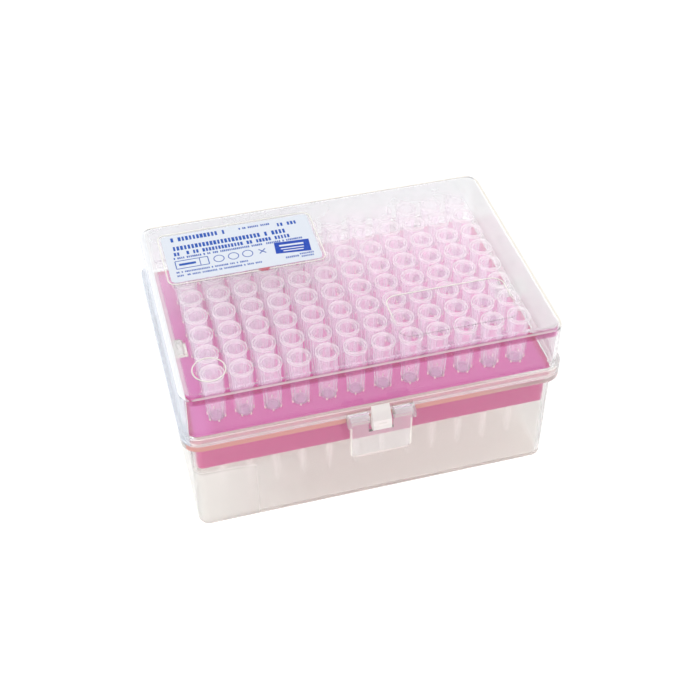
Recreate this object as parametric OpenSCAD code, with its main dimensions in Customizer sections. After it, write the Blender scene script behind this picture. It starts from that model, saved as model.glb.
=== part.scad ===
// Box of pipette tips: a frosted base, a pink rack, a clear hinged lid with a swinging latch,
// a label, and rows of filter tips that stand in the rack.
// +X runs along a row of tips, +Y to the hinge side, +Z up. The origin is the centre of the underside.

/* [Tips] */
// Tips in each row, along X
cols = 12; // [6:1:16]
// Rows of tips, along Y
rows = 8; // [5:1:10]
// Distance between neighbouring tips
pitch = 9; // [8.2:0.1:14]
// Length of a tip from its rim to its point
tip_length = 53.1; // [44:0.1:80]
// Height of the rim above the deck that the tip stands on
stand_h = 17.6; // [13:0.1:24]
// Inner diameter of the mouth
mouth_d = 5.9; // [5.4:0.1:6.2]
// Outer diameter of the shank just under the deck
shank_d = 4.7; // [3.9:0.1:5]
// Ribs round the collar
ribs = 6; // [3:1:8]
// Length of the slender point
point_l = 11.3; // [6:0.1:18]
// Length of the filter plug
filter_h = 5; // [3:0.5:8]

/* [Rack] */
// Distance from the outermost tip's axis to the deck's edge, along X
deck_margin_x = 9.9; // [9:0.1:16]
// Distance from the outermost tip's axis to the deck's edge, along Y
deck_margin_y = 9.7; // [8:0.1:16]
// Thickness of the deck
deck_t = 1.5; // [1:0.1:2.5]
// Height of the rack's skirt below the deck
skirt_h = 12.3; // [6:0.1:20]
// Thickness of the skirt
skirt_t = 1.2; // [0.8:0.1:1.6]
// How far the deck's edge stands out past the skirt
deck_lip = 1.4; // [1:0.1:2]

/* [Base] */
// Wall thickness of the base
base_wall = 1.3; // [1:0.1:2]
// Thickness of the base's floor
floor_t = 1.3; // [1:0.1:2.5]
// Free height under the points of the tips
point_gap = 4; // [1:0.1:12]
// Thickness of the base's rim flange
rim_t = 2; // [1.6:0.1:4]
// Radius round the bottom edge
bottom_r = 1.5; // [0.6:0.1:1.8]

/* [Lid] */
// Wall thickness of the lid
lid_wall = 1.1; // [0.9:0.1:1.6]
// Thickness of the lid's top
lid_top_t = 1.2; // [1:0.1:2.5]
// Free height over the rims of the tips
head_gap = 1.4; // [0.6:0.1:6]
// Radius round the lid's top edge
top_r = 2; // [1.7:0.1:3]
// Radius of the lid's upright corners
corner_r = 5; // [4.4:0.1:8]
// Height of the lid's flange
flange_h = 3.4; // [2.8:0.1:6]
// How far the flanges stand out past the lid's wall
flange_out = 1.15; // [0.9:0.05:2]

/* [Hinge and latch] */
// Distance from the middle to each hinge
hinge_x = 36; // [14:0.5:45]
// Width of a hinge knuckle
knuckle_w = 8; // [5:0.5:14]
// Diameter of the hinge's stub pins
pin_d = 2.4; // [2:0.1:3]
// Overall width of the latch
latch_w = 20.2; // [16:0.1:26]
// Height of the latch from its axis to its lower edge
latch_h = 16.2; // [12:0.1:20]
// Thickness of the latch plate
latch_t = 1; // [0.8:0.1:1.2]
// Width of the catch that the latch hooks under
catch_w = 5.9; // [4:0.1:7.2]

/* [Label] */
// Width of the label
label_w = 50.6; // [30:0.1:52]
// Depth of the label
label_d = 24.5; // [12:0.1:26]
// Thickness of the label
label_t = 0.12; // [0.08:0.01:0.3]

/* [Clearances] */
// Between the rack's skirt and the base's wall
skirt_gap = 0.3; // [0.2:0.05:0.6]
// Between the deck's edge and the rebate it lies in
seat_gap = 0.3; // [0.2:0.05:0.45]
// Between the deck's edge and the lid's wall
deck_gap = 0.5; // [0.4:0.05:1]
// Between a tip's shank and its hole
hole_gap = 0.15; // [0.1:0.05:0.3]
// Between the lid's flange and the base's rim
flange_gap = 0.1; // [0.05:0.05:0.3]
// Round a pin or barrel in its bearing
run_gap = 0.08; // [0.04:0.01:0.1]
// Between parts that move past each other
side_gap = 0.3; // [0.2:0.05:0.6]

/* [Hidden] */
function row_name(kind, r) = str(kind, "_row_", chr(97 + r));

$fn = 48;
eps = 0.02;              // overlap of joined solids, and run-out of cuts

function grown(size, by) = [size[0] + 2 * by, size[1] + 2 * by];
// Every upright corner is struck from the same centre as the lid's
function corner_of(size) = corner_r + (size[0] - lid_out[0]) / 2;
function part_way(a, b, share) = a + (b - a) * share;

// Heights above the underside of the base
tip_z = floor_t + point_gap;
rim_z = tip_z + tip_length;
deck_z = rim_z - stand_h;
deck_proud = 0.2;        // the deck stands this far above the base's rim
base_h = deck_z - deck_proud;
seat_z = deck_z - deck_t;
lid_z = base_h + flange_gap;
lid_top_z = rim_z + head_gap + lid_top_t;

// Plan sizes, [along X, along Y]
deck_size = [(cols - 1) * pitch + 2 * deck_margin_x, (rows - 1) * pitch + 2 * deck_margin_y];
skirt_size = grown(deck_size, -deck_lip);
base_in = grown(skirt_size, skirt_gap);
base_out = grown(base_in, base_wall);
rebate_size = grown(deck_size, seat_gap);
lid_in = grown(deck_size, deck_gap);
lid_out = grown(lid_in, lid_wall);
flange_size = grown(lid_out, flange_out);
front_y = -flange_size[1] / 2;
rear_y = flange_size[1] / 2;

// Tip: diameters from the mouth down, and the places where they change
rim_wall = 0.8;
rim_h = 1.1;
collar_wall = 0.35;
tip_wall = 0.4;
mouth_bevel = 0.15;
hole_d = shank_d + 2 * hole_gap;
collar_d = mouth_d + 2 * collar_wall;
collar_foot_d = hole_d + 0.25;
shoulder_z = stand_h - 0.25;     // depth of the shoulder that ends the collar
neck_z = tip_length - point_l;
neck_d = 1.9;
point_d = 0.9;
point_bore = 0.5;

// Ribs of a tip, and their pointed feet
rib_t = 0.5;
rib_out = 0.3;           // the ribs stand out this far from the collar at its top
foot_reach = 0.6;        // the feet stand out this far past the edge of the hole
foot_w = 0.25;
foot_h = 0.7;

filter_z = stand_h + 0.3;        // depth of the filter's upper face
filter_gap = 0.03;
turn_seed = 25474;       // each tip stands turned its own way in its hole

// Blocks on the base's end walls that locate the rack
block_w = 7.6;
block_reach = 4.2;       // from the wall towards the middle
block_proud = 1;         // above the deck
block_bevel = 0.8;
block_back = 2;          // from the deck's edge to the block's upper part

// Catch on the base's front: it slopes out from in front of the lid's flange, then drops
catch_rise = 3.6;        // above the base's rim
catch_slope = 3.4;
catch_out = 4.1;         // past the rim's front
catch_drop = 5.1;        // below the base's rim
catch_bevel = [1.6, 1.5];
pad_size = [2.4, 0.3, 2];

// Latch, its barrels, and the clips on the lid that wrap them
barrel_r = 1.3;
barrel_back = 0.47;      // from a barrel's bearing to the front of the flange
latch_y = front_y - barrel_back - run_gap - barrel_r;
latch_z = base_h - 0.1;
clip_t = 0.95;
clip_r = barrel_r + run_gap + clip_t;
clip_from = 38;          // the wrap runs from here over the top to clip_to, in degrees
clip_to = 240;           // from straight ahead, upwards
cheek_t = 0.6;           // wall that closes a clip's outer end
end_gap = 0.1;
notch_half = catch_w / 2 + 1.15;
clip_half = latch_w / 2 + end_gap;
rim_cut = 0.5;           // the base's rim is set back this far behind the clips
bar_drop = 5.5;          // from the axis to the bar that lies under the catch
latch_corner = 2.4;

// Hinge
ear_t = 3;
ear_r = 2.2;
knuckle_r = 2;
hinge_y = rear_y + ear_r + 1.5 * side_gap;
hinge_z = base_h;
ear_gap = 0.2;
stub_l = 2.6;

// Fine grooves round the lid's flange: how high each lies
groove_z = [0.45, 2.45];
groove_w = 0.35;
groove_d = 0.25;

// Raised lines on the lid's top: round the label, round a bare writing field, and a bare ring
line_w = 0.45;
line_h = 0.15;
label_margin = 0.8;
label_corner = 1.6;
label_at = [-deck_size[0] / 2 + 5 + label_w / 2, deck_size[1] / 2 - 6.4 - label_d / 2];
write_size = [40, 20];
write_corner = 4;
write_at = [deck_size[0] / 2 - 10 - write_size[0] / 2, -deck_size[1] / 2 + 6.8 + write_size[1] / 2];
ring_d = 10.6;
ring_at = [-deck_size[0] / 2 + 9, -deck_size[1] / 2 + 9];

// ---- plain shapes -------------------------------------------------------------------------------

// A rounded rectangle, centred
module plate_2d(size, r) {
    square([size[0] - 2 * r, size[1]], center = true);
    square([size[0], size[1] - 2 * r], center = true);
    for (sx = [-1, 1], sy = [-1, 1])
        translate([sx * (size[0] / 2 - r), sy * (size[1] / 2 - r)]) circle(r = r);
}

module slab(size, h, r) {
    linear_extrude(height = h) plate_2d(size, r);
}

// A rounded rectangular frame, t wide
module frame(size, t, h, r) {
    difference() {
        slab(size, h, r);
        translate([0, 0, -1]) slab(grown(size, -t), h + 2, r - t);
    }
}

// Half of a turned corner's outline, with its upper outer edge rounded
module corner_2d(r, h, edge) {
    square([r, h - edge]);
    square([r - edge, h]);
    translate([r - edge, h - edge]) intersection() {
        circle(r = edge);
        square(edge);
    }
}

// The outline of a block seen from its end, with both upper edges rounded
module end_2d(w, h, edge) {
    translate([-w / 2, 0]) square([w, h - edge]);
    translate([-w / 2 + edge, 0]) square([w - 2 * edge, h]);
    for (s = [-1, 1]) translate([s * (w / 2 - edge), h - edge]) circle(r = edge);
}

// A block with round upright corners and a rounded upper edge
module soft_block(size, h, r, edge) {
    translate([-size[0] / 2 + r, 0, 0]) rotate([90, 0, 90])
        linear_extrude(height = size[0] - 2 * r) end_2d(size[1], h, edge);
    translate([0, size[1] / 2 - r, 0]) rotate([90, 0, 0])
        linear_extrude(height = size[1] - 2 * r) end_2d(size[0], h, edge);
    for (x = [0, 1], y = [0, 1]) mirror([x, 0, 0]) mirror([0, y, 0])
        translate([size[0] / 2 - r, size[1] / 2 - r, 0])
            rotate_extrude(angle = 90) corner_2d(r, h, edge);
}

// The same block upside down, for a tub: its lower edge is rounded
module tub_block(size, h, r, edge) {
    translate([0, 0, h]) mirror([0, 0, 1]) soft_block(size, h, r, edge);
}

// A cylinder that lies along X, centred
module rod_x(r, w) {
    rotate([0, 90, 0]) cylinder(r = r, h = w, center = true);
}

// An outline in Y and Z, drawn out along X, centred
module along_x(w) {
    translate([-w / 2, 0, 0]) rotate([90, 0, 90]) linear_extrude(height = w) children();
}

// An outline in X and Z, drawn out along Y, centred
module along_y(w) {
    translate([0, w / 2, 0]) rotate([90, 0, 0]) linear_extrude(height = w) children();
}

// Its children, and the same again on the other side of the middle
module both_sides() {
    for (side = [0, 1]) mirror([side, 0, 0]) children();
}

// ---- base ---------------------------------------------------------------------------------------

module tub() {
    difference() {
        union() {
            tub_block(base_out, base_h, corner_of(base_out), bottom_r);
            translate([0, 0, base_h - rim_t]) slab(flange_size, rim_t, corner_of(flange_size));
        }
        translate([0, 0, floor_t]) tub_block(base_in, base_h, corner_of(base_in), bottom_r / 2);
        translate([0, 0, seat_z]) slab(rebate_size, base_h, corner_of(rebate_size));
        clip_recess();
    }
}

// Room in the front of the rim for the lid's clips
module clip_recess() {
    half = clip_half + cheek_t + side_gap;
    translate([-half, front_y - 1, base_h - rim_t - 1]) cube([2 * half, 1 + rim_cut, rim_t + 2]);
}

module rack_block() {
    wall_x = base_in[0] / 2 + eps;
    inner_x = wall_x - eps - block_reach;
    back_x = deck_size[0] / 2 - block_back;
    top = deck_z + block_proud;
    low = seat_z - skirt_h;
    along_y(block_w) polygon([
        [wall_x, low - block_reach],
        [inner_x, low],
        [inner_x, top - block_bevel],
        [inner_x + block_bevel, top],
        [back_x, top],
        [back_x, seat_z],
        [wall_x, seat_z]
    ]);
}

module catch() {
    top_y = front_y - side_gap;
    nose_y = front_y - catch_out;
    root_y = front_y + rim_cut + eps;
    wall_y = -base_out[1] / 2 + eps;
    low = base_h - catch_drop;
    along_x(catch_w) polygon([
        [top_y, base_h + catch_rise],
        [top_y - catch_slope, base_h],
        [nose_y, low + catch_bevel[1]],
        [nose_y + catch_bevel[0], low],
        [wall_y, low],
        [wall_y, base_h - rim_t / 2],
        [root_y, base_h - rim_t / 2],
        [root_y, base_h],
        [top_y, base_h]
    ]);
    translate([-pad_size[0] / 2, nose_y + 0.1 - pad_size[1] / 2, low + catch_bevel[1] + 0.4])
        cube(pad_size);
}

// The two ears at one hinge, bored for the lid's stub pins
module hinge_ears() {
    for (side = [-1, 1]) translate([side * (knuckle_w / 2 + ear_gap + ear_t / 2), 0, 0]) {
        difference() {
            union() {
                translate([0, hinge_y, hinge_z]) rod_x(ear_r, ear_t);
                translate([-ear_t / 2, rear_y - 1, base_h - rim_t])
                    cube([ear_t, hinge_y - rear_y + 1, rim_t]);
            }
            translate([0, hinge_y, hinge_z]) rod_x(pin_d / 2 + run_gap, ear_t + 2);
        }
    }
}

module base() {
    color("WhiteSmoke") {
        tub();
        both_sides() rack_block();
        both_sides() translate([hinge_x, 0, 0]) hinge_ears();
        catch();
    }
}

// ---- rack ---------------------------------------------------------------------------------------

// Where a tip stands
function tip_x(c) = (c - (cols - 1) / 2) * pitch;
function row_y(r) = ((rows - 1) / 2 - r) * pitch;

// Where the rack stays clear of a block on the base
module block_notch() {
    reach = block_reach + skirt_gap + deck_lip + side_gap;
    translate([deck_size[0] / 2 - reach, -block_w / 2 - side_gap, seat_z - skirt_h - 1])
        cube([reach + 1, block_w + 2 * side_gap, skirt_h + deck_t + 2]);
}

module rack() {
    color("HotPink") difference() {
        union() {
            translate([0, 0, seat_z]) slab(deck_size, deck_t, corner_of(deck_size));
            translate([0, 0, seat_z - skirt_h])
                frame(skirt_size, skirt_t, skirt_h + eps, corner_of(skirt_size));
        }
        for (r = [0 : rows - 1], c = [0 : cols - 1])
            translate([tip_x(c), row_y(r), seat_z - 1]) cylinder(d = hole_d, h = deck_t + 2);
        both_sides() block_notch();
    }
}

// ---- lid ----------------------------------------------------------------------------------------

module cover() {
    difference() {
        union() {
            translate([0, 0, lid_z]) soft_block(lid_out, lid_top_z - lid_z, corner_r, top_r);
            translate([0, 0, lid_z]) slab(flange_size, flange_h, corner_of(flange_size));
        }
        translate([0, 0, lid_z - 1])
            soft_block(lid_in, lid_top_z - lid_top_t - lid_z + 1, corner_of(lid_in), top_r / 2);
        for (z = groove_z) translate([0, 0, lid_z + z])
            frame(grown(flange_size, 1), 1 + groove_d, groove_w, corner_of(flange_size) + 1);
    }
}

// The raised lines on the top
module top_lines() {
    translate([0, 0, lid_top_z - eps]) {
        translate(label_at) frame(grown([label_w, label_d], label_margin + line_w), line_w,
            line_h + eps, label_corner + label_margin + line_w);
        translate(write_at) frame(write_size, line_w, line_h + eps, write_corner);
        translate(ring_at) difference() {
            cylinder(d = ring_d, h = line_h + eps);
            translate([0, 0, -1]) cylinder(d = ring_d - 2 * line_w, h = 3);
        }
    }
}

// The direction of an angle from straight ahead, upwards, as [Y, Z]
function ahead(angle) = [-cos(angle), sin(angle)];

// A clip's outline round the latch's axis, before its bearing is cut
module clip_2d() {
    difference() {
        union() {
            circle(r = clip_r);
            square([front_y + rim_cut - latch_y, clip_r]);
        }
        clip_back_2d();
    }
}

// What a clip leaves free in front of the base's rim
module clip_back_2d() {
    translate([front_y + rim_cut / 2 - latch_y, -clip_r - 1])
        square([clip_r, clip_r + 1 + lid_z - latch_z]);
}

// The mouth of a clip, through which the latch swings
module clip_mouth_2d() {
    reach = 2 * clip_r;
    span = clip_from - (clip_to - 360);
    polygon(concat([[0, 0]], [for (k = [0 : 3]) reach * ahead(clip_from - span * k / 3)]));
}

module clip() {
    w = clip_half - notch_half;
    translate([0, latch_y, latch_z]) {
        translate([notch_half + w / 2, 0, 0]) difference() {
            along_x(w) clip_2d();
            rod_x(barrel_r + run_gap, w + 2);
            along_x(w + 2) clip_mouth_2d();
        }
        translate([clip_half + cheek_t / 2 - eps / 2, 0, 0]) along_x(cheek_t + eps) clip_2d();
    }
}

// A knuckle with its web to the flange and a stub pin at each end
module knuckle() {
    translate([0, hinge_y, hinge_z]) {
        rod_x(knuckle_r, knuckle_w);
        rod_x(pin_d / 2, knuckle_w + 2 * (ear_gap + stub_l));
    }
    translate([-knuckle_w / 2, rear_y - flange_out, lid_z])
        cube([knuckle_w, hinge_y - rear_y + flange_out, hinge_z + knuckle_r * 0.9 - lid_z]);
}

module lid() {
    color("LightCyan", 0.4) {
        cover();
        top_lines();
        both_sides() clip();
        both_sides() translate([hinge_x, 0, 0]) knuckle();
    }
}

// ---- latch --------------------------------------------------------------------------------------

// The plate's outline in X and Z, from the axis down
module latch_2d() {
    h = latch_h + latch_corner;
    difference() {
        intersection() {
            translate([0, -latch_h + h / 2]) plate_2d([latch_w, h], latch_corner);
            translate([-latch_w, -latch_h - 1]) square([2 * latch_w, latch_h + 1]);
        }
        translate([-notch_half, -bar_drop]) square([2 * notch_half, bar_drop + 1]);
    }
}

module latch() {
    w = latch_w / 2 - notch_half;
    color("LightCyan", 0.4) translate([0, latch_y, latch_z]) {
        along_y(latch_t) latch_2d();
        both_sides() translate([notch_half + w / 2, 0, 0]) rod_x(barrel_r, w);
    }
}

// ---- label --------------------------------------------------------------------------------------

module label() {
    color("AliceBlue") translate([label_at[0], label_at[1], lid_top_z])
        slab([label_w, label_d], label_t, label_corner);
}

// ---- tips and filters ---------------------------------------------------------------------------

// Bore radius at a depth under the deck
function bore_r(depth) = part_way(shank_d / 2 - tip_wall, neck_d / 2 - 0.8 * tip_wall,
    (depth - stand_h) / (neck_z - stand_h));

// A tip's half section as [radius, height], with its rim at height 0
tip_outline = [
    [mouth_d / 2, 0],
    [mouth_d / 2 + rim_wall, 0],
    [mouth_d / 2 + rim_wall, -rim_h],
    [collar_d / 2, -rim_h - 0.3],
    [collar_foot_d / 2, -shoulder_z],
    [shank_d / 2, -shoulder_z - 0.1],
    [neck_d / 2, -neck_z],
    [point_d / 2, -tip_length],
    [point_bore / 2, -tip_length],
    [bore_r(neck_z), -neck_z],
    [bore_r(stand_h), -stand_h],
    [mouth_d / 2 - mouth_bevel, -2 * mouth_bevel]
];

// A rib stands out from the collar and ends in a small foot on the deck
module rib() {
    foot_x = hole_d / 2 + foot_reach;
    inside = 0.2;
    along_y(rib_t) polygon([
        [collar_d / 2 - inside, -rim_h],
        [collar_d / 2 + rib_out, -rim_h],
        [foot_x, foot_h - stand_h],
        [foot_x - 0.05, -stand_h],
        [foot_x - 0.05 - foot_w, -stand_h],
        [collar_foot_d / 2 - inside, foot_h - stand_h]
    ]);
}

module tip() {
    rotate_extrude() polygon(tip_outline);
    for (k = [1 : ribs]) rotate([0, 0, k * 360 / ribs]) rib();
}

module tips(r) {
    turns = rands(0, 360 / ribs, cols, turn_seed + r);
    color("MistyRose", 0.7) for (c = [0 : cols - 1])
        translate([tip_x(c), row_y(r), rim_z]) rotate([0, 0, turns[c]]) tip();
}

// Filter plugs, each tapered to the bore that holds it
module filters(r) {
    color("Gainsboro") for (c = [0 : cols - 1])
        translate([tip_x(c), row_y(r), rim_z - filter_z - filter_h])
            cylinder(r1 = bore_r(filter_z + filter_h) - filter_gap,
                r2 = bore_r(filter_z) - filter_gap, h = filter_h);
}

// ---- nodes --------------------------------------------------------------------------------------

base();
rack();
lid();
latch();
label();
for (r = [0 : rows - 1]) {
    tips(r);
    filters(r);
}
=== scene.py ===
# %% [markdown]
# # A box of filter pipette tips
# The object is a small injection-moulded box: a frosted base, a pink rack, 96 thin translucent
# tips, and a clear lid with a latch and a label. Nearly everything in it is see-through, so this
# lesson is mostly about plastics that pass, bend, haze and tint light, each in its own way.
# The shapes are a fixed frame that comes from CAD. It is loaded first, in metres.

# %% Load the frame
import math

import bpy
import bmesh
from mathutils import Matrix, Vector


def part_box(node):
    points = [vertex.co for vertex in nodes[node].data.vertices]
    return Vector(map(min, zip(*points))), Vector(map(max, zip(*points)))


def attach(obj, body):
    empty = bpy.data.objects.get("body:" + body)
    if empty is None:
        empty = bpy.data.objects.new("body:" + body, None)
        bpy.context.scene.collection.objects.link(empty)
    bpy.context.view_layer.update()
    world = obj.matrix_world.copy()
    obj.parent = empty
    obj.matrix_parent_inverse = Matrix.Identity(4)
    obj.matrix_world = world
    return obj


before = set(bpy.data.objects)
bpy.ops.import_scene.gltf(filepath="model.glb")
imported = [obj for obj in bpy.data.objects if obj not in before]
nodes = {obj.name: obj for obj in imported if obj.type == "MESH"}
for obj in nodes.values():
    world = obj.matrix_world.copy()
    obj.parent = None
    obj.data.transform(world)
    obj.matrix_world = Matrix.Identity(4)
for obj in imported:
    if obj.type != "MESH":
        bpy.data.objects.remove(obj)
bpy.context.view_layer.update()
mm = 0.001

# %% [markdown]
# ## Places on the box
# The finishes change from place to place, and the print lies at a set height, so a few places are
# read from the frame once, in millimetres. X runs along the box and is 0 in its middle, Y runs from
# the latch in front to the hinges at the back, and Z is the height above the bench. The lid's walls
# stand a little way inside its flange, which is the widest part of the box, so their outer and inner
# faces are found from it.


# %% Read the places
def box_mm(name):
    """The lowest and the highest corner of a CAD node, in millimetres."""
    return [[round(value / mm, 2) for value in corner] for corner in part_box(name)]


for name in ("base", "rack", "lid", "latch", "label"):
    print(name, *box_mm(name))

flange_out = 1.15
wall_depth = 1.1
wall_x, wall_y = box_mm("lid")[1][0] - flange_out, 42.8
inner_x, inner_y = wall_x - wall_depth, wall_y - wall_depth
flange_foot, flange_top = 40.7, 44.1
front_y = -44.0
lid_top = box_mm("label")[0][2]
rim_top = box_mm("tips_row_a")[1][2]
deck_top = box_mm("rack")[1][2]
latch_x = box_mm("latch")[1][0]
latch_foot = box_mm("latch")[0][2]
print("lid's walls at", wall_x, wall_y, "| its top", lid_top, "| tips' rims", rim_top, "| deck", deck_top)

# %% [markdown]
# ## The camera
# The box is seen from above its front left corner. A long lens keeps its edges nearly parallel.
# The lens is set first, because every later choice of light is judged through it. A direction and
# `to_track_quat` aim it, so no angle has to be worked out by hand.

# %% Aim the camera
scene = bpy.context.scene
eye = Vector((-0.08067, -0.30098, 0.32193))
gaze = Vector((0.19348, 0.70017, -0.68727))

camera_data = bpy.data.cameras.new("camera")
camera_data.sensor_width = 36
camera_data.lens = 63.93
camera = bpy.data.objects.new("camera", camera_data)
camera.location = eye
camera.rotation_euler = gaze.to_track_quat("-Z", "Y").to_euler()
scene.collection.objects.link(camera)
scene.camera = camera
print("camera looks down", round(math.degrees(math.asin(-gaze.normalized().z)), 1), "degrees")


# %% [markdown]
# ## Helpers for node trees
# Every finish below is a small tree of shader nodes. One helper adds a node and fills its inputs
# by name, with a number, a colour, or the output of another node. It keeps each finish short
# enough to read as a list of what the real material does.

# %% Add nodes to a tree
def add(tree, kind, inputs=None, **settings):
    """A shader node with its settings, and each input as a number, a colour or a link."""
    made = tree.nodes.new("ShaderNode" + kind)
    for key, value in settings.items():
        setattr(made, key, value)
    for key, value in (inputs or {}).items():
        if isinstance(value, bpy.types.NodeSocket):
            tree.links.new(value, made.inputs[key])
        else:
            made.inputs[key].default_value = value
    return made


def new_material(name):
    """A material with an empty tree, and that tree."""
    material = bpy.data.materials.new(name)
    material.use_nodes = True
    material.node_tree.nodes.clear()
    return material, material.node_tree


print("helpers:", add.__name__, new_material.__name__)


# %% [markdown]
# A mask is a number from 0 to 1 that says how much of a finish shows at a point. Masks are made by
# ramps, which climb from one place to another, and put together by arithmetic: a product is where
# all of them are, and the largest is where any of them is.

# %% Make and join masks
def chain(tree, operation, *terms):
    """The terms, one after another, under one Math operation."""
    total = terms[0]
    for term in terms[1:]:
        total = add(tree, "Math", {0: total, 1: term}, operation=operation).outputs[0]
    return total


def times(tree, *terms):
    """The product of the terms."""
    return chain(tree, "MULTIPLY", *terms)


def plus(tree, *terms):
    """The sum of the terms."""
    return chain(tree, "ADD", *terms)


def most(tree, *terms):
    """The largest of the terms."""
    return chain(tree, "MAXIMUM", *terms)


def ramp(tree, value, low, high, start=0.0, end=1.0):
    """A smooth climb from start to end as value goes from low to high."""
    return add(tree, "MapRange", {"Value": value, "From Min": low, "From Max": high,
                                  "To Min": start, "To Max": end},
               interpolation_type="SMOOTHSTEP").outputs[0]


def band(tree, value, low, high, soft=0.1):
    """1 between low and high, 0 outside, with soft edges."""
    return times(tree, ramp(tree, value, low - soft, low + soft), ramp(tree, value, high + soft, high - soft))


def blend(tree, share, first, second):
    """Two shaders, with this share of the second."""
    mix = add(tree, "MixShader", {"Fac": share})
    tree.links.new(first, mix.inputs[1])
    tree.links.new(second, mix.inputs[2])
    return mix.outputs[0]


def tone(tree, share, first, second):
    """A colour that goes from first to second with share."""
    first, second = [(*colour, 1) if isinstance(colour, tuple) else colour for colour in (first, second)]
    return add(tree, "MixRGB", {"Fac": share, "Color1": first, "Color2": second}).outputs[0]


print("joined by:", ", ".join(helper.__name__ for helper in (times, plus, most, blend, tone)))

# %% [markdown]
# ## Light
# Clear plastic shows whatever surrounds it, so the surroundings are plain: a white floor in a
# white tent. The tent's wall is even, a little darker high up and brighter at the horizon, where it
# meets the floor. It is brightest behind the box, as if a large soft panel stood there, a little
# taller at its left end. The flat top of the lid mirrors the upper edge of that panel, and so carries
# a milky veil over its far half that fades towards its front. A world that depends only on the
# direction makes such a tent with no objects that could come into view from another side.

# %% A white tent
tent = bpy.data.worlds.new("white_tent")
tent.use_nodes = True
tree = tent.node_tree
tree.nodes.clear()
direction = add(tree, "TexCoord").outputs["Generated"]
split = add(tree, "SeparateXYZ", {0: direction})
right, up = split.outputs["X"], split.outputs["Z"]
behind = add(tree, "VectorMath", {0: direction, 1: (0.26, 0.97, 0)}, operation="DOT_PRODUCT").outputs["Value"]

wall = ramp(tree, up, 0.9, 0.7, 0.56, 0.66)
taller_at_left = ramp(tree, right, 0.12, -0.1, 0.0, 0.09)
panel_top = ramp(tree, chain(tree, "SUBTRACT", up, taller_at_left), 0.735, 0.6)
panel = times(tree, panel_top, ramp(tree, behind, 0.35, 0.7), 1.25)
horizon = ramp(tree, up, 0.2, 0.05, 0.0, 0.36)
sky = add(tree, "Background", {"Color": (0.98, 0.99, 1.0, 1), "Strength": plus(tree, wall, panel, horizon)})
add(tree, "OutputWorld", {"Surface": sky.outputs[0]})
scene.world = tent
print("tent nodes:", len(tree.nodes))

# %% [markdown]
# ## The floor
# The floor is a sheet of matt white card that runs far past the box. Card is never one flat white,
# so a large, faint mottle goes through its colour. The sheet also gives off light of its own, as a
# light table does. That keeps it clean white under the box, where the box would shade it, and the
# light comes up through the frosted base as it does over a bright table.

# %% The floor
reach = 40.0
below_box = 0.4 * mm
floor_corners = [(-reach, -reach, 0), (reach, -reach, 0), (reach, reach, 0), (-reach, reach, 0)]
floor_mesh = bpy.data.meshes.new("floor")
floor_mesh.from_pydata(floor_corners, [], [(0, 1, 2, 3)])
floor = bpy.data.objects.new("floor", floor_mesh)
floor.location.z = -below_box
scene.collection.objects.link(floor)

floor_white, tree = new_material("floor_white")
place = add(tree, "TexCoord").outputs["Object"]
mottle = add(tree, "TexNoise", {"Vector": place, "Scale": 4, "Detail": 3}).outputs[0]
card = add(tree, "BsdfDiffuse", {"Color": tone(tree, mottle, (0.66, 0.66, 0.66), (0.7, 0.7, 0.7)),
                                 "Roughness": 0.5})
shine = add(tree, "Emission", {"Color": (1, 1, 1, 1), "Strength": 0.55})
lit = add(tree, "AddShader", {0: card.outputs[0], 1: shine.outputs[0]})
add(tree, "OutputMaterial", {"Surface": lit.outputs[0]})
floor_mesh.materials.append(floor_white)
print("floor reaches", reach, "m each way")

# %% [markdown]
# ## Two lamps
# Plain soft studio light: a large, weak lamp overhead, and a stronger, slightly warm one in front
# and to the left, which keeps the front of the base and the tips from going grey. Both are area
# lamps, so every shadow has a soft edge. Neither is seen by the camera itself.


# %% Two soft lamps
def soft_lamp(name, place, size, power, colour=(1, 1, 1)):
    """A rectangular lamp that faces the middle of the box."""
    lamp = bpy.data.lights.new(name, "AREA")
    lamp.shape = "RECTANGLE"
    lamp.size, lamp.size_y = size
    lamp.energy = power
    lamp.color = colour
    holder = bpy.data.objects.new(name, lamp)
    holder.location = place
    holder.rotation_euler = (box_middle - Vector(place)).to_track_quat("-Z", "Y").to_euler()
    holder.visible_camera = False
    scene.collection.objects.link(holder)


box_middle = Vector((0, 0, 0.03))
soft_lamp("overhead", place=(-0.35, -0.25, 1.3), size=(0.9, 0.9), power=1.5)
soft_lamp("front_fill", place=(-0.55, -1.1, 0.75), size=(0.9, 0.7), power=4, colour=(1, 0.98, 0.96))

# %% [markdown]
# ## Letting lamps through
# A path tracer finds a lamp behind curved glass only by luck, so the things inside a clear box
# come out dark and grainy. The usual cure is used here: a ray that only asks whether a lamp is
# in view (a shadow ray) meets a plain tinted film, and every other ray meets the real plastic.
#
# A second habit of real plastic matters at its edges. Light that is caught inside a thin wall runs
# along it from face to face, and a little of it leaks out at each turn, which is why the edges of a
# clear box look pale and not black. So the plastic is mixed with a share of plain scattering, the
# leak. The share can differ between the outer and the inner side of a face, and from place to place,
# and it grows where a face turns edge-on.
# On the lid the leak also carries painted highlights and painted tints, each said where it is made.


# %% Finish a see-through plastic
def film_for_lamps(tree, body, film):
    """The body for every ray but a lamp's, which meets a clear film of this colour."""
    path = add(tree, "LightPath").outputs["Is Shadow Ray"]
    pass_through = add(tree, "BsdfTransparent", {"Color": (*film, 1)}).outputs[0]
    add(tree, "OutputMaterial", {"Surface": blend(tree, path, body, pass_through)})


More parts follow.
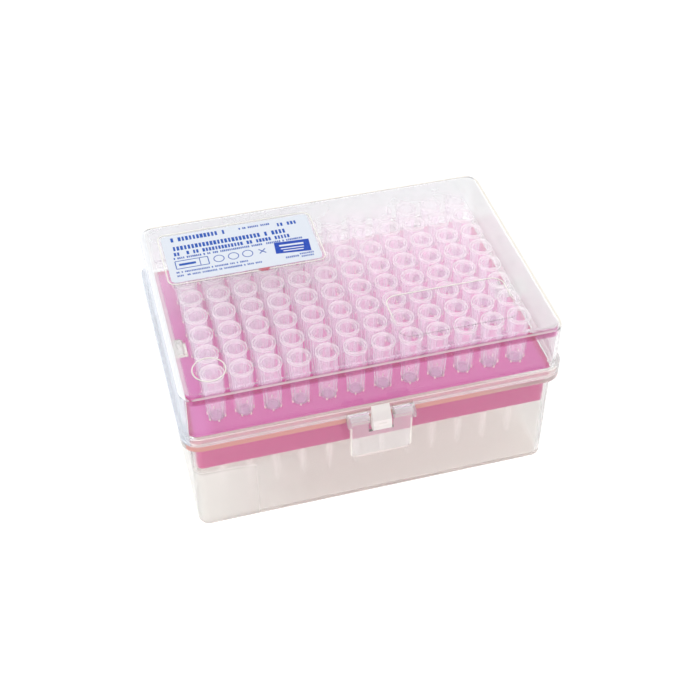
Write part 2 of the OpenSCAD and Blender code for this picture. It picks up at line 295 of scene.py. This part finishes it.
def finish_clear(tree, plastic, leak, outside, inside, film):
    """plastic with a share of leak at its outer and inner faces, and a film for lamps' rays."""
    facing = add(tree, "NewGeometry").outputs["Backfacing"]
    share = add(tree, "MapRange", {"Value": facing, "To Min": outside, "To Max": inside}).outputs[0]
    grazing = add(tree, "LayerWeight", {"Blend": 0.5}).outputs["Facing"]
    share = plus(tree, share, ramp(tree, grazing, 0.6, 1.0, 0.0, 0.4))
    film_for_lamps(tree, blend(tree, share, plastic, leak), film)


print("a finish ends in:", finish_clear.__name__)


# %% [markdown]
# ## Where on the box
# Many finishes change with the place: a rim is whiter than the wall below it. Each CAD node sits at
# the origin, so its Object coordinates are places on the box in metres. They are turned into
# millimetres here, because every size on the box is a few millimetres.

# %% Where a point is, in millimetres
def place_mm(tree):
    """Object coordinates in millimetres, as one vector and as X, Y and Z."""
    place = add(tree, "TexCoord").outputs["Object"]
    scaled = add(tree, "VectorMath", {0: place, "Scale": 1 / mm}, operation="SCALE").outputs[0]
    split = add(tree, "SeparateXYZ", {0: scaled})
    return scaled, split.outputs["X"], split.outputs["Y"], split.outputs["Z"]


def size_of(tree, value):
    """How far a value is from 0, on either side."""
    return add(tree, "Math", {0: value}, operation="ABSOLUTE").outputs[0]


print("places are read in steps of", mm, "m")

# %% [markdown]
# ## Clear plastic
# The lid and the latch are hard, polished polystyrene. The shader's glass gives their refraction
# and reflections. Four things keep them from looking like thick window glass: the faintly wavy skin
# of a moulding, fine scuffs and dust that haze the top, with a painted reflection of the soft panel
# laid into that haze, side walls painted pale with a tint for the light they carry up from the floor
# (cool on the left, warm on the right), and raised lines with painted highlights.
#
# The glass comes first. Its body is a shade greyer at the back of the top, where dust and haze
# gather. The front's upper edge bends the view of the rack into a narrow pink band. The tracer finds
# only a part of that band, so the glass is dyed there too. The dye moves with the lid, so it is right
# for a shut lid seen from in front, and too strong when the lid stands open.

# %% The glass of the clear plastic
clear_plastic, tree = new_material("clear_polystyrene")
where, x, y, z = place_mm(tree)
across = size_of(tree, x)
wavy = add(tree, "TexNoise", {"Vector": where, "Scale": 0.05, "Detail": 1}).outputs[0]
skin = add(tree, "Bump", {"Height": wavy, "Strength": 0.05, "Distance": 0.001}).outputs[0]
scuffs = add(tree, "TexNoise", {"Vector": where, "Scale": 2.5, "Detail": 4, "Roughness": 0.7}).outputs[0]
polish = ramp(tree, scuffs, 0.5, 0.8, 0.008, 0.05)

smoke = times(tree, ramp(tree, y, 14, 42), ramp(tree, z, lid_top - 2, lid_top - 1))
bend = times(tree, band(tree, z, 57.4, 60.5, 0.3), band(tree, y, front_y, -41.5),
             ramp(tree, across, 59.5, 57.5))
body_tone = tone(tree, smoke, (0.975, 0.98, 0.985), (0.8, 0.815, 0.83))
glass = add(tree, "BsdfPrincipled", {"Base Color": tone(tree, bend, body_tone, (0.62, 0.17, 0.4)),
                                     "Roughness": polish, "IOR": 1.5, "Transmission Weight": 1.0,
                                     "Normal": skin})
print("glass of the clear plastic:", len(tree.nodes), "nodes")

# %% [markdown]
# Then the places that leak light. On the lid they are the top, whose white haze, partly real
# scuffing and partly a painted reflection, grows towards the back, where the top mirrors the soft
# panel, and towards both ends; the side and back walls; the front wall; and the flange with its lip,
# which carries a painted highlight. What stands in front of the flange, the latch and its clips,
# leaks everywhere, most at the latch's rim, which carries a painted highlight too.

# %% Where the clear plastic leaks
on_top = ramp(tree, z, lid_top - 0.5, lid_top - 0.1)
cloudy = add(tree, "TexNoise", {"Vector": where, "Scale": 0.06, "Detail": 3}).outputs[0]
# Painted reflection: on top of the real scuffing, the top's haze turns whiter towards the back, as the veil
# the soft panel lays on it, and towards both ends.
haze_and_veil = most(tree, ramp(tree, y, -18, 38, 0.06, 0.3), ramp(tree, x, -57.3, -58.6, 0.0, 0.55),
            ramp(tree, x, 46, 55, 0.0, 0.42))
top = times(tree, on_top, haze_and_veil, ramp(tree, cloudy, 0.2, 0.8, 0.85, 1.15))

behind_latch = ramp(tree, y, front_y - 0.1, front_y + 0.1)
sides = most(tree, ramp(tree, across, inner_x - 0.6, inner_x - 0.1),
             ramp(tree, y, inner_y - 0.6, inner_y - 0.1, 0.0, 0.55))
front = times(tree, ramp(tree, y, 0.2 - inner_y, -0.2 - inner_y), behind_latch)
flange = times(tree, band(tree, z, flange_foot, flange_top), ramp(tree, y, 0.1 - wall_y, -0.1 - wall_y),
               behind_latch)
# Painted highlight: a cream line along the top of the flange.
lip_highlight = times(tree, flange, ramp(tree, z, flange_top - 0.5, flange_top - 0.3))

latch_part = ramp(tree, y, front_y + 0.1, front_y - 0.1)
# Painted highlight: a white outline along the latch's side edges and its foot.
latch_rim_highlight = times(tree, latch_part, ramp(tree, z, 38.5, 37.5),
                  most(tree, ramp(tree, across, latch_x - 0.8, latch_x - 0.4),
                       ramp(tree, z, latch_foot + 1, latch_foot + 0.6)))
print("leaking places so far:", len(tree.nodes), "nodes")

# %% [markdown]
# Three more places are small. The round edge between the walls and the top gets a painted
# highlight: an opaque, nearly white leak with no gloss of its own. The raised lines on the top get
# painted highlights too, fainter towards the front. A small ragged red stain shows just in front of
# the label.

# %% The round edge, the raised lines and the stain
curve_foot = lid_top - 2
# Painted highlight: the round edges of the lid are made nearly white and opaque.
round_edge_highlight = times(tree, ramp(tree, z, curve_foot + 0.3, curve_foot + 0.7),
                   most(tree, ramp(tree, across, wall_x - 2, wall_x - 1.6),
                        ramp(tree, y, wall_y - 2.3, wall_y - 1.9),
                        ramp(tree, y, 0.6 - wall_y, 0.2 - wall_y, 0, 0.5)))

# Painted highlights on the raised lines, fainter towards the front.
line_highlight_fade = most(tree, ramp(tree, y, -33, -20, 0.12, 1.0), ramp(tree, x, -38, -40))
raised_line_highlight = times(tree, ramp(tree, z, lid_top + 0.03, lid_top + 0.1), line_highlight_fade)

stain_middle = (-23.9, 9.8)
stain_size = (2.4, 1.4)
off_middle = [times(tree, plus(tree, value, -middle), 1 / size)
              for value, middle, size in zip((x, y), stain_middle, stain_size)]
ragged = add(tree, "TexNoise", {"Vector": where, "Scale": 0.9, "Detail": 2}).outputs[0]
from_stain = plus(tree, times(tree, off_middle[0], off_middle[0]), times(tree, off_middle[1], off_middle[1]),
                  ragged)
stain = times(tree, ramp(tree, from_stain, 1.5, 0.9), on_top)
print("all leaking places:", len(tree.nodes), "nodes")

# %% [markdown]
# Last, how much each place leaks at the outer and the inner side of its face, and in what colour.
# The flange leaks a pale pink, painted in for the rack's colour that it bends into view. The edges'
# painted highlights are nearly white with a warm tint away from the left end, and the walls carry a
# painted tint for the light on them, cool on the left and warm on the right.

# %% Mix the clear plastic
to_right = ramp(tree, x, -10, 10)
outside = most(tree, times(tree, stain, 0.8), top, times(tree, sides, ramp(tree, x, -10, 10, 0.5, 0.36)),
               times(tree, front, 0.04), times(tree, flange, 0.5), times(tree, lip_highlight, 0.8), round_edge_highlight,
               times(tree, latch_part, 0.2), times(tree, latch_rim_highlight, 0.6), times(tree, raised_line_highlight, 0.8), 0.01)
inside = most(tree, times(tree, sides, 0.25), times(tree, front, 0.08), 0.03)

# Painted light: the side walls are tinted cool on the left and warm on the right, and leak more on the left,
# for the light that falls on them.
painted_side_light = tone(tree, to_right, (0.72, 0.77, 0.85), (0.7, 0.67, 0.66))
# The colour of the painted highlights on the edges, the lip and the latch's rim.
edge_highlight_tone = tone(tree, ramp(tree, x, -59, -58), (0.97, 0.98, 1.0), (0.98, 0.94, 0.87))
pale = tone(tree, sides, (0.86, 0.86, 0.845), painted_side_light)
# Painted: the flange's pale pink stands for the rack's colour that the flange bends into view.
pale = tone(tree, flange, pale, (0.84, 0.64, 0.62))
pale = tone(tree, most(tree, round_edge_highlight, latch_rim_highlight, lip_highlight), pale, edge_highlight_tone)
pale = tone(tree, raised_line_highlight, pale, (0.97, 0.96, 0.86))
pale = tone(tree, stain, pale, (0.62, 0.09, 0.13))
leak = add(tree, "BsdfPrincipled", {"Base Color": pale, "Roughness": 0.15, "IOR": 1.5,
                                    "Specular IOR Level": ramp(tree, round_edge_highlight, 0, 1, 0.5, 0.0)})
finish_clear(tree, glass.outputs[0], leak.outputs[0], outside, inside, film=(0.96, 0.965, 0.97))
print("clear plastic:", len(tree.nodes), "nodes")

# %% [markdown]
# ## Frosted plastic
# The base is polypropylene: milky, a little warm, and rough inside, so it blurs what stands behind
# it. Rough transmission does that. Where the plastic is thick or doubled, at the rim that the lid
# rests on, at the catch and at the foot, it turns opaque and takes a tan or cream tint; the tan of
# the front rim is the rack's light, painted in. The lower half of the base is a little cloudier,
# and towards the left the base is painted cloudier and whiter, as painted light from that side.

# %% The body of the frosted plastic
frosted_plastic, tree = new_material("frosted_polypropylene")
where, x, y, z = place_mm(tree)
across, along = size_of(tree, x), size_of(tree, y)
grain = add(tree, "TexNoise", {"Vector": where, "Scale": 1.2, "Detail": 4}).outputs[0]
frost = add(tree, "Bump", {"Height": grain, "Strength": 0.06, "Distance": 0.0002}).outputs[0]
milk = add(tree, "BsdfPrincipled", {"Base Color": (0.95, 0.945, 0.93, 1), "IOR": 1.45,
                                    "Roughness": ramp(tree, grain, 0.3, 0.7, 0.2, 0.27),
                                    "Transmission Weight": 1.0, "Normal": frost})
print("body of the frosted plastic:", len(tree.nodes), "nodes")

# %% [markdown]
# The cloudy places follow: the rim, which is strongest in front, the catch, the foot, and the faint
# cloud of the lower half. The front rim's tan is painted light: the rack's colour that the thick rim
# carries, paler towards the right end. Catch and foot are cream.

# %% Where the base is cloudy, and its tints
rim = times(tree, band(tree, z, 38.5, 40.7),
            most(tree, ramp(tree, across, 59.7, 60.0), ramp(tree, along, 41.5, 41.8)))
rim_front = times(tree, rim, ramp(tree, y, -41.0, -41.8), ramp(tree, x, 60, 25, 0.35, 1.0))
catch = times(tree, ramp(tree, y, front_y + 0.3, front_y), ramp(tree, across, 3.2, 3.0),
              ramp(tree, z, 35, 35.6))
foot = ramp(tree, z, 1.2, 0.5)
low_part = ramp(tree, z, 28, 24)
# Painted light: the cloud grows towards the left end, where more light falls.
low_haze_and_left_light = plus(tree, ramp(tree, low_part, 0, 1, 0.03, 0.11),
                times(tree, low_part, ramp(tree, x, -15, -58, 0, 0.25)))
cloud = most(tree, times(tree, rim, 0.35), times(tree, rim_front, 0.8), times(tree, catch, 0.75),
             times(tree, foot, 0.75), low_haze_and_left_light)

# Painted light: the leak's colour turns whiter towards the left end of the base.
tint = tone(tree, ramp(tree, x, -15, -58), (0.87, 0.85, 0.83), (0.96, 0.95, 0.92))
# Painted light: the rack's colour carried in the front rim, fading towards the right end.
tint = tone(tree, rim_front, tint, (0.74, 0.38, 0.35))
tint = tone(tree, catch, tint, (1.0, 0.96, 0.93))
tint = tone(tree, foot, tint, (1.0, 0.92, 0.88))
leak = add(tree, "BsdfDiffuse", {"Color": tint})
finish_clear(tree, milk.outputs[0], leak.outputs[0], cloud, cloud, film=(0.9, 0.89, 0.88))
print("frosted plastic:", len(tree.nodes), "nodes")

# %% [markdown]
# ## Pink plastic
# The rack is an opaque, strongly coloured moulding with a satin skin. A fine orange-peel bump and a
# slow drift in the colour keep the flat deck alive. Its outer edge lies in the shade of the lid's
# flange and gets light only through plastic, so it is deeper and redder there.

# %% Make the pink plastic
pink_plastic, tree = new_material("pink_rack_moulding")
where, x, y, z = place_mm(tree)
across, along = size_of(tree, x), size_of(tree, y)
edge = most(tree, ramp(tree, across, 57.0, 58.8), ramp(tree, along, 38.6, 40.6))
drift = add(tree, "TexNoise", {"Vector": where, "Scale": 0.04, "Detail": 3}).outputs[0]
peel = add(tree, "TexNoise", {"Vector": where, "Scale": 1.6, "Detail": 2}).outputs[0]
orange_peel = add(tree, "Bump", {"Height": peel, "Strength": 0.12, "Distance": 0.0001}).outputs[0]
dye_and_painted_shading = tone(tree, drift, (0.73, 0.085, 0.41), (0.68, 0.075, 0.385))
# Painted light: the deck is a lighter pink at its left end, where more light reaches it.
dye_and_painted_shading = tone(tree, ramp(tree, x, -50, -55), dye_and_painted_shading, (0.8, 0.14, 0.52))
# Painted shade along the deck's outer edge, under the lid's flange.
dye_and_painted_shading = tone(tree, edge, dye_and_painted_shading, (0.62, 0.03, 0.22))
dye_and_painted_shading = tone(tree, ramp(tree, z, deck_top - 0.6, deck_top - 1.8), dye_and_painted_shading, (0.72, 0.05, 0.3))
pink = add(tree, "BsdfPrincipled", {"Base Color": dye_and_painted_shading, "Roughness": ramp(tree, peel, 0.3, 0.7, 0.36, 0.46),
                                    "IOR": 1.45, "Normal": orange_peel})
add(tree, "OutputMaterial", {"Surface": pink.outputs[0]})
print("pink plastic:", len(tree.nodes), "nodes")

# %% [markdown]
# ## Tip plastic
# A tip is a thin tube of natural polypropylene. Its wall is much thinner than the light's bend
# would need to show, so it isn't made as glass: it is a thin veil that covers little where it faces
# the eye and much where it turns edge-on. Nearly half of the veil's light comes through it from
# behind, because such a wall glows rather than shines. The rim is a white ring, a painted highlight,
# with a fainter painted ring at the mouth's inner edge, and the ribs end in small feet painted bright
# as highlights on the deck. All 96 tips stand on one 9 mm grid, so one wrapped coordinate finds the
# axis of each of them.

# %% How much a tip's wall covers
tip_plastic, tree = new_material("natural_tip_wall")
where, x, y, z = place_mm(tree)
pitch = 9.0
from_axis = [add(tree, "Math", {0: plus(tree, value, pitch / 2), 1: -pitch / 2, 2: pitch / 2},
                 operation="WRAP").outputs[0] for value in (x, y)]
radius_squared = plus(tree, *[times(tree, value, value) for value in from_axis])
radius = add(tree, "Math", {0: radius_squared}, operation="SQRT").outputs[0]

edge_on = add(tree, "LayerWeight", {"Blend": 0.5}).outputs["Facing"]
drawn_out = add(tree, "VectorMath", {0: where, 1: (2.0, 2.0, 0.15)}, operation="MULTIPLY").outputs[0]
streaks = add(tree, "TexNoise", {"Vector": drawn_out, "Scale": 1, "Detail": 2}).outputs[0]
wall = times(tree, ramp(tree, edge_on, 0.3, 1.0, 0.13, 0.66), ramp(tree, streaks, 0.2, 0.8, 0.8, 1.2),
             ramp(tree, z, 38, 34, 1.0, 1.3))
# Painted highlight: a white ring on the rim and a fainter one at the mouth's inner edge.
rim_ring_highlight = times(tree, ramp(tree, z, rim_top - 1.2, rim_top - 0.8),
             most(tree, ramp(tree, radius, 3.3, 3.5), ramp(tree, radius, 3.1, 2.98, 0, 0.8)))
# Painted highlight: small bright cream spots where the ribs meet the deck.
rib_feet_highlight = times(tree, ramp(tree, z, deck_top + 1.4, deck_top + 0.9), ramp(tree, radius, 2.75, 2.85), 0.95)
# Fully covered inside the deck, where the rack's pink is painted on.
cover = most(tree, plus(tree, wall, times(tree, rim_ring_highlight, 0.3)), rib_feet_highlight,
             band(tree, z, deck_top - 2, deck_top + 0.3))
print("cover of a tip's wall:", len(tree.nodes), "nodes")

# %% [markdown]
# The colour of the veil changes on its way down: nearly white at the rim, where the highlight is
# painted, a faint mauve on the wall, the rack's pink painted on where the tip goes through the deck
# and shows the rack through it, and a clean white below it.

# %% Mix the tip plastic
milky = tone(tree, rim_ring_highlight, (0.78, 0.71, 0.78), (0.96, 0.94, 0.93))
# Painted: the tip's wall takes the rack's pink where it goes through the deck.
milky = tone(tree, ramp(tree, z, deck_top + 0.5, deck_top + 0.2), milky, (0.78, 0.4, 0.68))
milky = tone(tree, ramp(tree, z, deck_top - 2.2, deck_top - 2.6), milky, (1.0, 0.98, 0.97))
milky = tone(tree, rib_feet_highlight, milky, (1.0, 0.95, 0.84))
through = add(tree, "BsdfTransparent", {"Color": (1.0, 0.99, 0.995, 1)})
satin = ramp(tree, streaks, 0.3, 0.7, 0.2, 0.3)
skin = add(tree, "BsdfPrincipled", {"Base Color": milky, "Roughness": satin})
glow = add(tree, "BsdfTranslucent", {"Color": milky})
flesh = blend(tree, 0.45, skin.outputs[0], glow.outputs[0])
film_for_lamps(tree, blend(tree, cover, through.outputs[0], flesh), film=(0.95, 0.93, 0.94))
print("tip plastic:", len(tree.nodes), "nodes")

# %% [markdown]
# ## Filters
# In each tip sits a plug of sintered plastic beads. Up close it is a porous, matt surface, so small
# cells go through both its colour and its bump. It stands inside the pink rack, and its white colour
# is painted a dim mauve for the rack's pink light and the shade in there, so it reads as a mauve
# disc through the tip.

# %% Make the filter
filter_plug, tree = new_material("sintered_filter")
where, x, y, z = place_mm(tree)
beads = add(tree, "TexVoronoi", {"Vector": where, "Scale": 5}).outputs["Distance"]
pores = add(tree, "Bump", {"Height": beads, "Strength": 0.4, "Distance": 0.0001}).outputs[0]
# Painted light and shade: the white plug is made a dim mauve for the rack's pink light and the shade inside
# the tip.
pink_light_and_shade = tone(tree, ramp(tree, beads, 0.1, 0.7), (0.62, 0.27, 0.52), (0.54, 0.23, 0.45))
plug = add(tree, "BsdfPrincipled", {"Base Color": pink_light_and_shade, "Roughness": 0.9, "Normal": pores})
add(tree, "OutputMaterial", {"Surface": plug.outputs[0]})
print("filter:", len(tree.nodes), "nodes")

# %% [markdown]
# ## Label
# The label is a coated paper sticker in a very pale blue. Its coat gives a soft sheen, and a faint
# fibre mottle shows through the coat. Paper this thin glows a little when it is lit from behind, as
# it is when the lid stands open, so a share of the light goes through its back.

# %% Make the label's paper
label_paper, tree = new_material("coated_paper")
where, x, y, z = place_mm(tree)
fibre = add(tree, "TexNoise", {"Vector": where, "Scale": 1.5, "Detail": 5}).outputs[0]
pale_blue = tone(tree, fibre, (0.8, 0.845, 0.93), (0.82, 0.86, 0.935))
paper = add(tree, "BsdfPrincipled", {"Base Color": pale_blue,
                                     "Roughness": ramp(tree, fibre, 0.3, 0.7, 0.45, 0.55)})
through = add(tree, "BsdfTranslucent", {"Color": (0.9, 0.92, 0.96, 1)})
from_behind = times(tree, add(tree, "NewGeometry").outputs["Backfacing"], 0.6)
add(tree, "OutputMaterial", {"Surface": blend(tree, from_behind, paper.outputs[0], through.outputs[0])})
print("label paper:", len(tree.nodes), "nodes")

# %% [markdown]
# ## The finishes go on
# The six finishes go on the CAD nodes by name. The nodes keep their meshes, and only what stands in
# their material slots changes.

# %% Put the finishes on the CAD nodes
finishes = {"base": frosted_plastic, "rack": pink_plastic, "lid": clear_plastic,
            "latch": clear_plastic, "label": label_paper}
for name, node in nodes.items():
    finish = finishes.get(name) or (tip_plastic if name.startswith("tips") else filter_plug)
    for slot in node.material_slots:
        slot.material = finish
print("finished nodes:", len(nodes))

# %% [markdown]
# ## Printing on the label
# A label like this carries a few lines of small type, a box, some rings and a coloured badge. Here
# they are generic: the lines are rows of plain blocks that stand for words and say nothing. Two inks
# are enough, a blue for the lines and a deeper one for the badge.


# %% Two inks
def ink(name, colour, worn):
    """A printed ink: one colour, a little thinner in places."""
    material, tree = new_material(name)
    where, x, y, z = place_mm(tree)
    spread = add(tree, "TexNoise", {"Vector": where, "Scale": 3, "Detail": 3}).outputs[0]
    printed_tone = tone(tree, ramp(tree, spread, 0.45, 0.75, 0, worn), colour, (0.7, 0.76, 0.9))
    coat = add(tree, "BsdfPrincipled", {"Base Color": printed_tone, "Roughness": 0.45,
                                        "Specular IOR Level": 0.15})
    add(tree, "OutputMaterial", {"Surface": coat.outputs[0]})
    return material


line_ink = ink("line_ink", (0.003, 0.09, 0.5), worn=0.1)
badge_ink = ink("badge_ink", (0.002, 0.06, 0.5), worn=0.08)
print("inks:", line_ink.name, badge_ink.name)

# %% [markdown]
# ## A tree that sets a row of blocks
# Rows of letters repeat along a line, so Geometry Nodes make them. Each row is one edge. The tree
# walks along it, drops a block at every step, leaves some steps empty as gaps between words, and
# varies the blocks' widths with a fixed seed. Its inputs have names, so that one tree can set rows
# of any size.

# %% The tree's inputs
print_words = bpy.data.node_groups.new("print_words", "GeometryNodeTree")
face = print_words.interface
face.new_socket("Row", in_out="INPUT", socket_type="NodeSocketGeometry")
for label in ("Step", "Height", "Gaps", "Thickness"):
    face.new_socket(label, in_out="INPUT", socket_type="NodeSocketFloat")
face.new_socket("Seed", in_out="INPUT", socket_type="NodeSocketInt")
face.new_socket("Ink", in_out="INPUT", socket_type="NodeSocketMaterial")
face.new_socket("Words", in_out="OUTPUT", socket_type="NodeSocketGeometry")
link, new = print_words.links.new, print_words.nodes.new
inputs, output = new("NodeGroupInput"), new("NodeGroupOutput")
print("inputs:", [item.name for item in face.items_tree])

# %% [markdown]
# The row becomes a curve and is cut into even steps. A random number at each step is compared with
# the share of gaps, and a step whose number is too low stays empty.

# %% Steps along the row, some of them empty
line = new("GeometryNodeMeshToCurve")
link(inputs.outputs["Row"], line.inputs["Mesh"])
steps = new("GeometryNodeResampleCurve")
steps.mode = "LENGTH"
link(line.outputs["Curve"], steps.inputs["Curve"])
link(inputs.outputs["Step"], steps.inputs["Length"])

letter = new("FunctionNodeRandomValue")
letter.data_type = "FLOAT"
link(inputs.outputs["Seed"], letter.inputs["Seed"])
keep = new("FunctionNodeCompare")
link(letter.outputs[1], keep.inputs[0])
link(inputs.outputs["Gaps"], keep.inputs[1])
print("nodes for the steps:", len(print_words.nodes))

# %% [markdown]
# A block is from half to four fifths of a step wide, so there is always a little room before the
# next one. Height and thickness are the same for the whole row.

# %% A block's size at each step
narrowest, widest = 0.5, 0.8
width = new("FunctionNodeRandomValue")
width.data_type = "FLOAT"
width.inputs[2].default_value = narrowest
width.inputs[3].default_value = widest
link(inputs.outputs["Seed"], width.inputs["Seed"])
wide = new("ShaderNodeMath")
wide.operation = "MULTIPLY"
link(width.outputs[1], wide.inputs[0])
link(inputs.outputs["Step"], wide.inputs[1])
shape = new("ShaderNodeCombineXYZ")
link(wide.outputs[0], shape.inputs["X"])
link(inputs.outputs["Height"], shape.inputs["Y"])
link(inputs.outputs["Thickness"], shape.inputs["Z"])
print("nodes with the sizes:", len(print_words.nodes))

# %% [markdown]
# A unit cube is placed on every step that is kept and takes that size. The instances are made real
# and get their ink, so that a plain mesh comes out.

# %% Blocks on the steps
block = new("GeometryNodeMeshCube")
block.inputs["Size"].default_value = (1, 1, 1)
place = new("GeometryNodeInstanceOnPoints")
link(steps.outputs["Curve"], place.inputs["Points"])
link(keep.outputs[0], place.inputs["Selection"])
link(block.outputs["Mesh"], place.inputs["Instance"])
link(shape.outputs["Vector"], place.inputs["Scale"])
real = new("GeometryNodeRealizeInstances")
link(place.outputs["Instances"], real.inputs["Geometry"])
coat = new("GeometryNodeSetMaterial")
link(real.outputs["Geometry"], coat.inputs["Geometry"])
link(inputs.outputs["Ink"], coat.inputs["Material"])
link(coat.outputs["Geometry"], output.inputs["Words"])
print("nodes in the tree:", len(print_words.nodes))

# %% [markdown]
# ## Setting the rows
# Every row is given by its ends, in millimetres on the lid. Rows of one size share a host mesh that
# has one edge for each of them. The ink lies on the label, two hundredths of a millimetre thick.

# %% A host for rows of one size
ink_low = box_mm("label")[1][2]
ink_high = ink_low + 0.02


def row_host(name, rows):
    """An object with one edge for each row of (x0, x1, y), in millimetres."""
    middle = (ink_low + ink_high) / 2 * mm
    points, edges = [], []
    for x0, x1, y in rows:
        edges.append((len(points), len(points) + 1))
        points += [(x0 * mm, y * mm, middle), (x1 * mm, y * mm, middle)]
    host_mesh = bpy.data.meshes.new(name)
    host_mesh.from_pydata(points, edges, [])
    host = bpy.data.objects.new(name, host_mesh)
    scene.collection.objects.link(host)
    return host


print("ink lies from", ink_low, "to", round(ink_high, 2), "mm")

# %% [markdown]
# The tree runs once for each size: large, medium, small and fine. The result is read back as a plain
# mesh, and the host is thrown away.


# %% Set rows of one size
def set_rows(name, rows, step, height, gaps, seed):
    """One mesh of blocks along the rows."""
    host = row_host(name, rows)
    setter = host.modifiers.new("words", "NODES")
    setter.node_group = print_words
    values = {"Step": step * mm, "Height": height * mm, "Gaps": gaps,
              "Thickness": (ink_high - ink_low) * mm, "Seed": seed, "Ink": line_ink}
    for item in print_words.interface.items_tree:
        if item.in_out == "INPUT" and item.name in values:
            setter[item.identifier] = values[item.name]
    mesh = bpy.data.meshes.new_from_object(host.evaluated_get(bpy.context.evaluated_depsgraph_get()))
    bpy.data.objects.remove(host)
    mesh.materials.clear()
    mesh.materials.append(line_ink)
    for face in mesh.polygons:
        face.material_index = 0
    print(name, len(mesh.polygons), "faces")
    return mesh


gap_share = 0.14
print("share of steps left empty:", gap_share)

# %% [markdown]
# The rows of this label follow, from (x0, x1, y): two of large blocks, two of medium ones, three of
# small ones and four of fine ones. Each size has a seed of its own, so that no two look alike.

# %% The rows on this label
large_rows = [(-50.8, -32.0, 32.4), (-50.8, -13.3, 27.6)]
medium_rows = [(-51.0, -12.4, 24.6), (-14.4, -7.4, 31.3)]
small_rows = [(-51.6, -8.4, 22.4), (-27.6, -16.2, 32.6), (-15.6, -11.7, 13.3)]
fine_rows = [(-51.9, -28.5, 15.1), (-51.9, -24.2, 13.3), (-10.7, -6.4, 14.0), (-11.0, -6.7, 12.6)]
printed = [set_rows("large", large_rows, step=1.25, height=2.2, gaps=gap_share, seed=4),
           set_rows("medium", medium_rows, step=1.05, height=1.8, gaps=gap_share, seed=7),
           set_rows("small", small_rows, step=0.62, height=0.95, gaps=gap_share, seed=12),
           set_rows("fine", fine_rows, step=0.55, height=0.8, gaps=gap_share, seed=21)]
print("sizes of rows:", len(printed))

# %% [markdown]
# ## The box, the rings and the badge
# The remaining marks are flat shapes: an outlined box with a divider and a bar, three plain rings, a
# small cross, and a slanted badge with pale bars. They are drawn as thin slabs in bmesh. A ring or a
# frame is a closed chain of short straight strokes.


# %% Draw flat marks
def slab(shapes, corners, low=ink_low, high=ink_high):
    """A flat slab over the corners, given in millimetres in counter-clockwise order."""
    under = [shapes.verts.new((x * mm, y * mm, low * mm)) for x, y in corners]
    over = [shapes.verts.new((x * mm, y * mm, high * mm)) for x, y in corners]
    shapes.faces.new(over)
    shapes.faces.new(under[::-1])
    for i in range(len(corners)):
        j = (i + 1) % len(corners)
        shapes.faces.new((under[i], under[j], over[j], over[i]))


def stroke(shapes, a, b, width):
    """A straight stroke from a to b."""
    run = Vector((b[0] - a[0], b[1] - a[1]))
    side = Vector((-run.y, run.x)).normalized() * width / 2
    a, b = Vector(a), Vector(b)
    slab(shapes, [tuple(a - side), tuple(b - side), tuple(b + side), tuple(a + side)])


def loop_of(shapes, outline, width):
    """A closed chain of strokes round the outline, from corner to corner."""
    for i, point in enumerate(outline):
        stroke(shapes, point, outline[(i + 1) % len(outline)], width)


def finish_shapes(name, shapes, material):
    """The shapes as one printed mesh of this material."""
    mesh = bpy.data.meshes.new(name)
    shapes.to_mesh(mesh)
    mesh.materials.append(material)
    printed.append(mesh)
    print(name, len(mesh.polygons), "faces")


print("marks are drawn with:", slab.__name__, stroke.__name__, loop_of.__name__)

# %% The outlined box, the rings and the cross
marks = bmesh.new()
loop_of(marks, [(-51.7, 16.9), (-40.8, 16.9), (-40.8, 20.9), (-51.7, 20.9)], width=0.3)
stroke(marks, (-43.6, 16.9), (-43.6, 20.9), width=0.25)
stroke(marks, (-50.6, 18.9), (-45.0, 18.9), width=1.1)

ring_radius, corners_round = 1.7, 24
turns = [a * math.pi / (corners_round / 2) for a in range(corners_round)]
for x, y in ((-37.3, 18.8), (-32.4, 18.8), (-27.6, 18.8)):
    outline = [(x + ring_radius * math.cos(turn), y + ring_radius * math.sin(turn)) for turn in turns]
    loop_of(marks, outline, width=0.28)

stroke(marks, (-23.7, 17.7), (-21.5, 19.9), width=0.35)
stroke(marks, (-23.7, 19.9), (-21.5, 17.7), width=0.35)
finish_shapes("marks", marks, line_ink)

# %% The badge and its bars
badge = bmesh.new()
slab(badge, [(-18.5, 16.1), (-6.7, 14.9), (-6.2, 21.2), (-18.0, 21.9)])
finish_shapes("badge", badge, badge_ink)

bars = bmesh.new()
slant, bar_depth = -0.06, 0.008
for x0, x1, y, width in ((-16.6, -8.4, 19.9, 0.9), (-16.4, -8.6, 18.2, 0.5), (-15.8, -9.0, 16.9, 0.5)):
    a = Vector((x0, y))
    b = Vector((x1, y)) + Vector((0, slant * (x1 - x0)))
    side = Vector((0, width / 2))
    slab(bars, [tuple(a - side), tuple(b - side), tuple(b + side), tuple(a + side)],
         low=ink_high, high=ink_high + bar_depth)
finish_shapes("bars", bars, label_paper)

# %% [markdown]
# ## One piece of print
# All ink lies on the same sticker, which is on the lid, so it becomes one piece that rides with the
# lid. Joining keeps each part's own material.

# %% Join the print
sheets = []
for mesh in printed:
    sheet = bpy.data.objects.new(mesh.name, mesh)
    scene.collection.objects.link(sheet)
    sheets.append(sheet)
with bpy.context.temp_override(active_object=sheets[0], selected_editable_objects=sheets,
                               selected_objects=sheets):
    bpy.ops.object.join()
label_print = sheets[0]
label_print.name = "label_print"
label_print.data.name = "label_print"
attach(label_print, "lid")
print("label print:", len(label_print.data.polygons), "faces,", [m.name for m in label_print.data.materials])

# %% [markdown]
# ## View and bounces
# The Standard view keeps the white floor white. A box of clear parts needs many bounces: a ray can
# cross a dozen walls before it reaches the floor, and a ray that runs out of bounces turns black.

# %% Light bounces
scene.view_settings.view_transform = "Standard"
scene.cycles.max_bounces = 48
scene.cycles.transmission_bounces = 48
scene.cycles.transparent_max_bounces = 96
print("bounces:", scene.cycles.max_bounces)
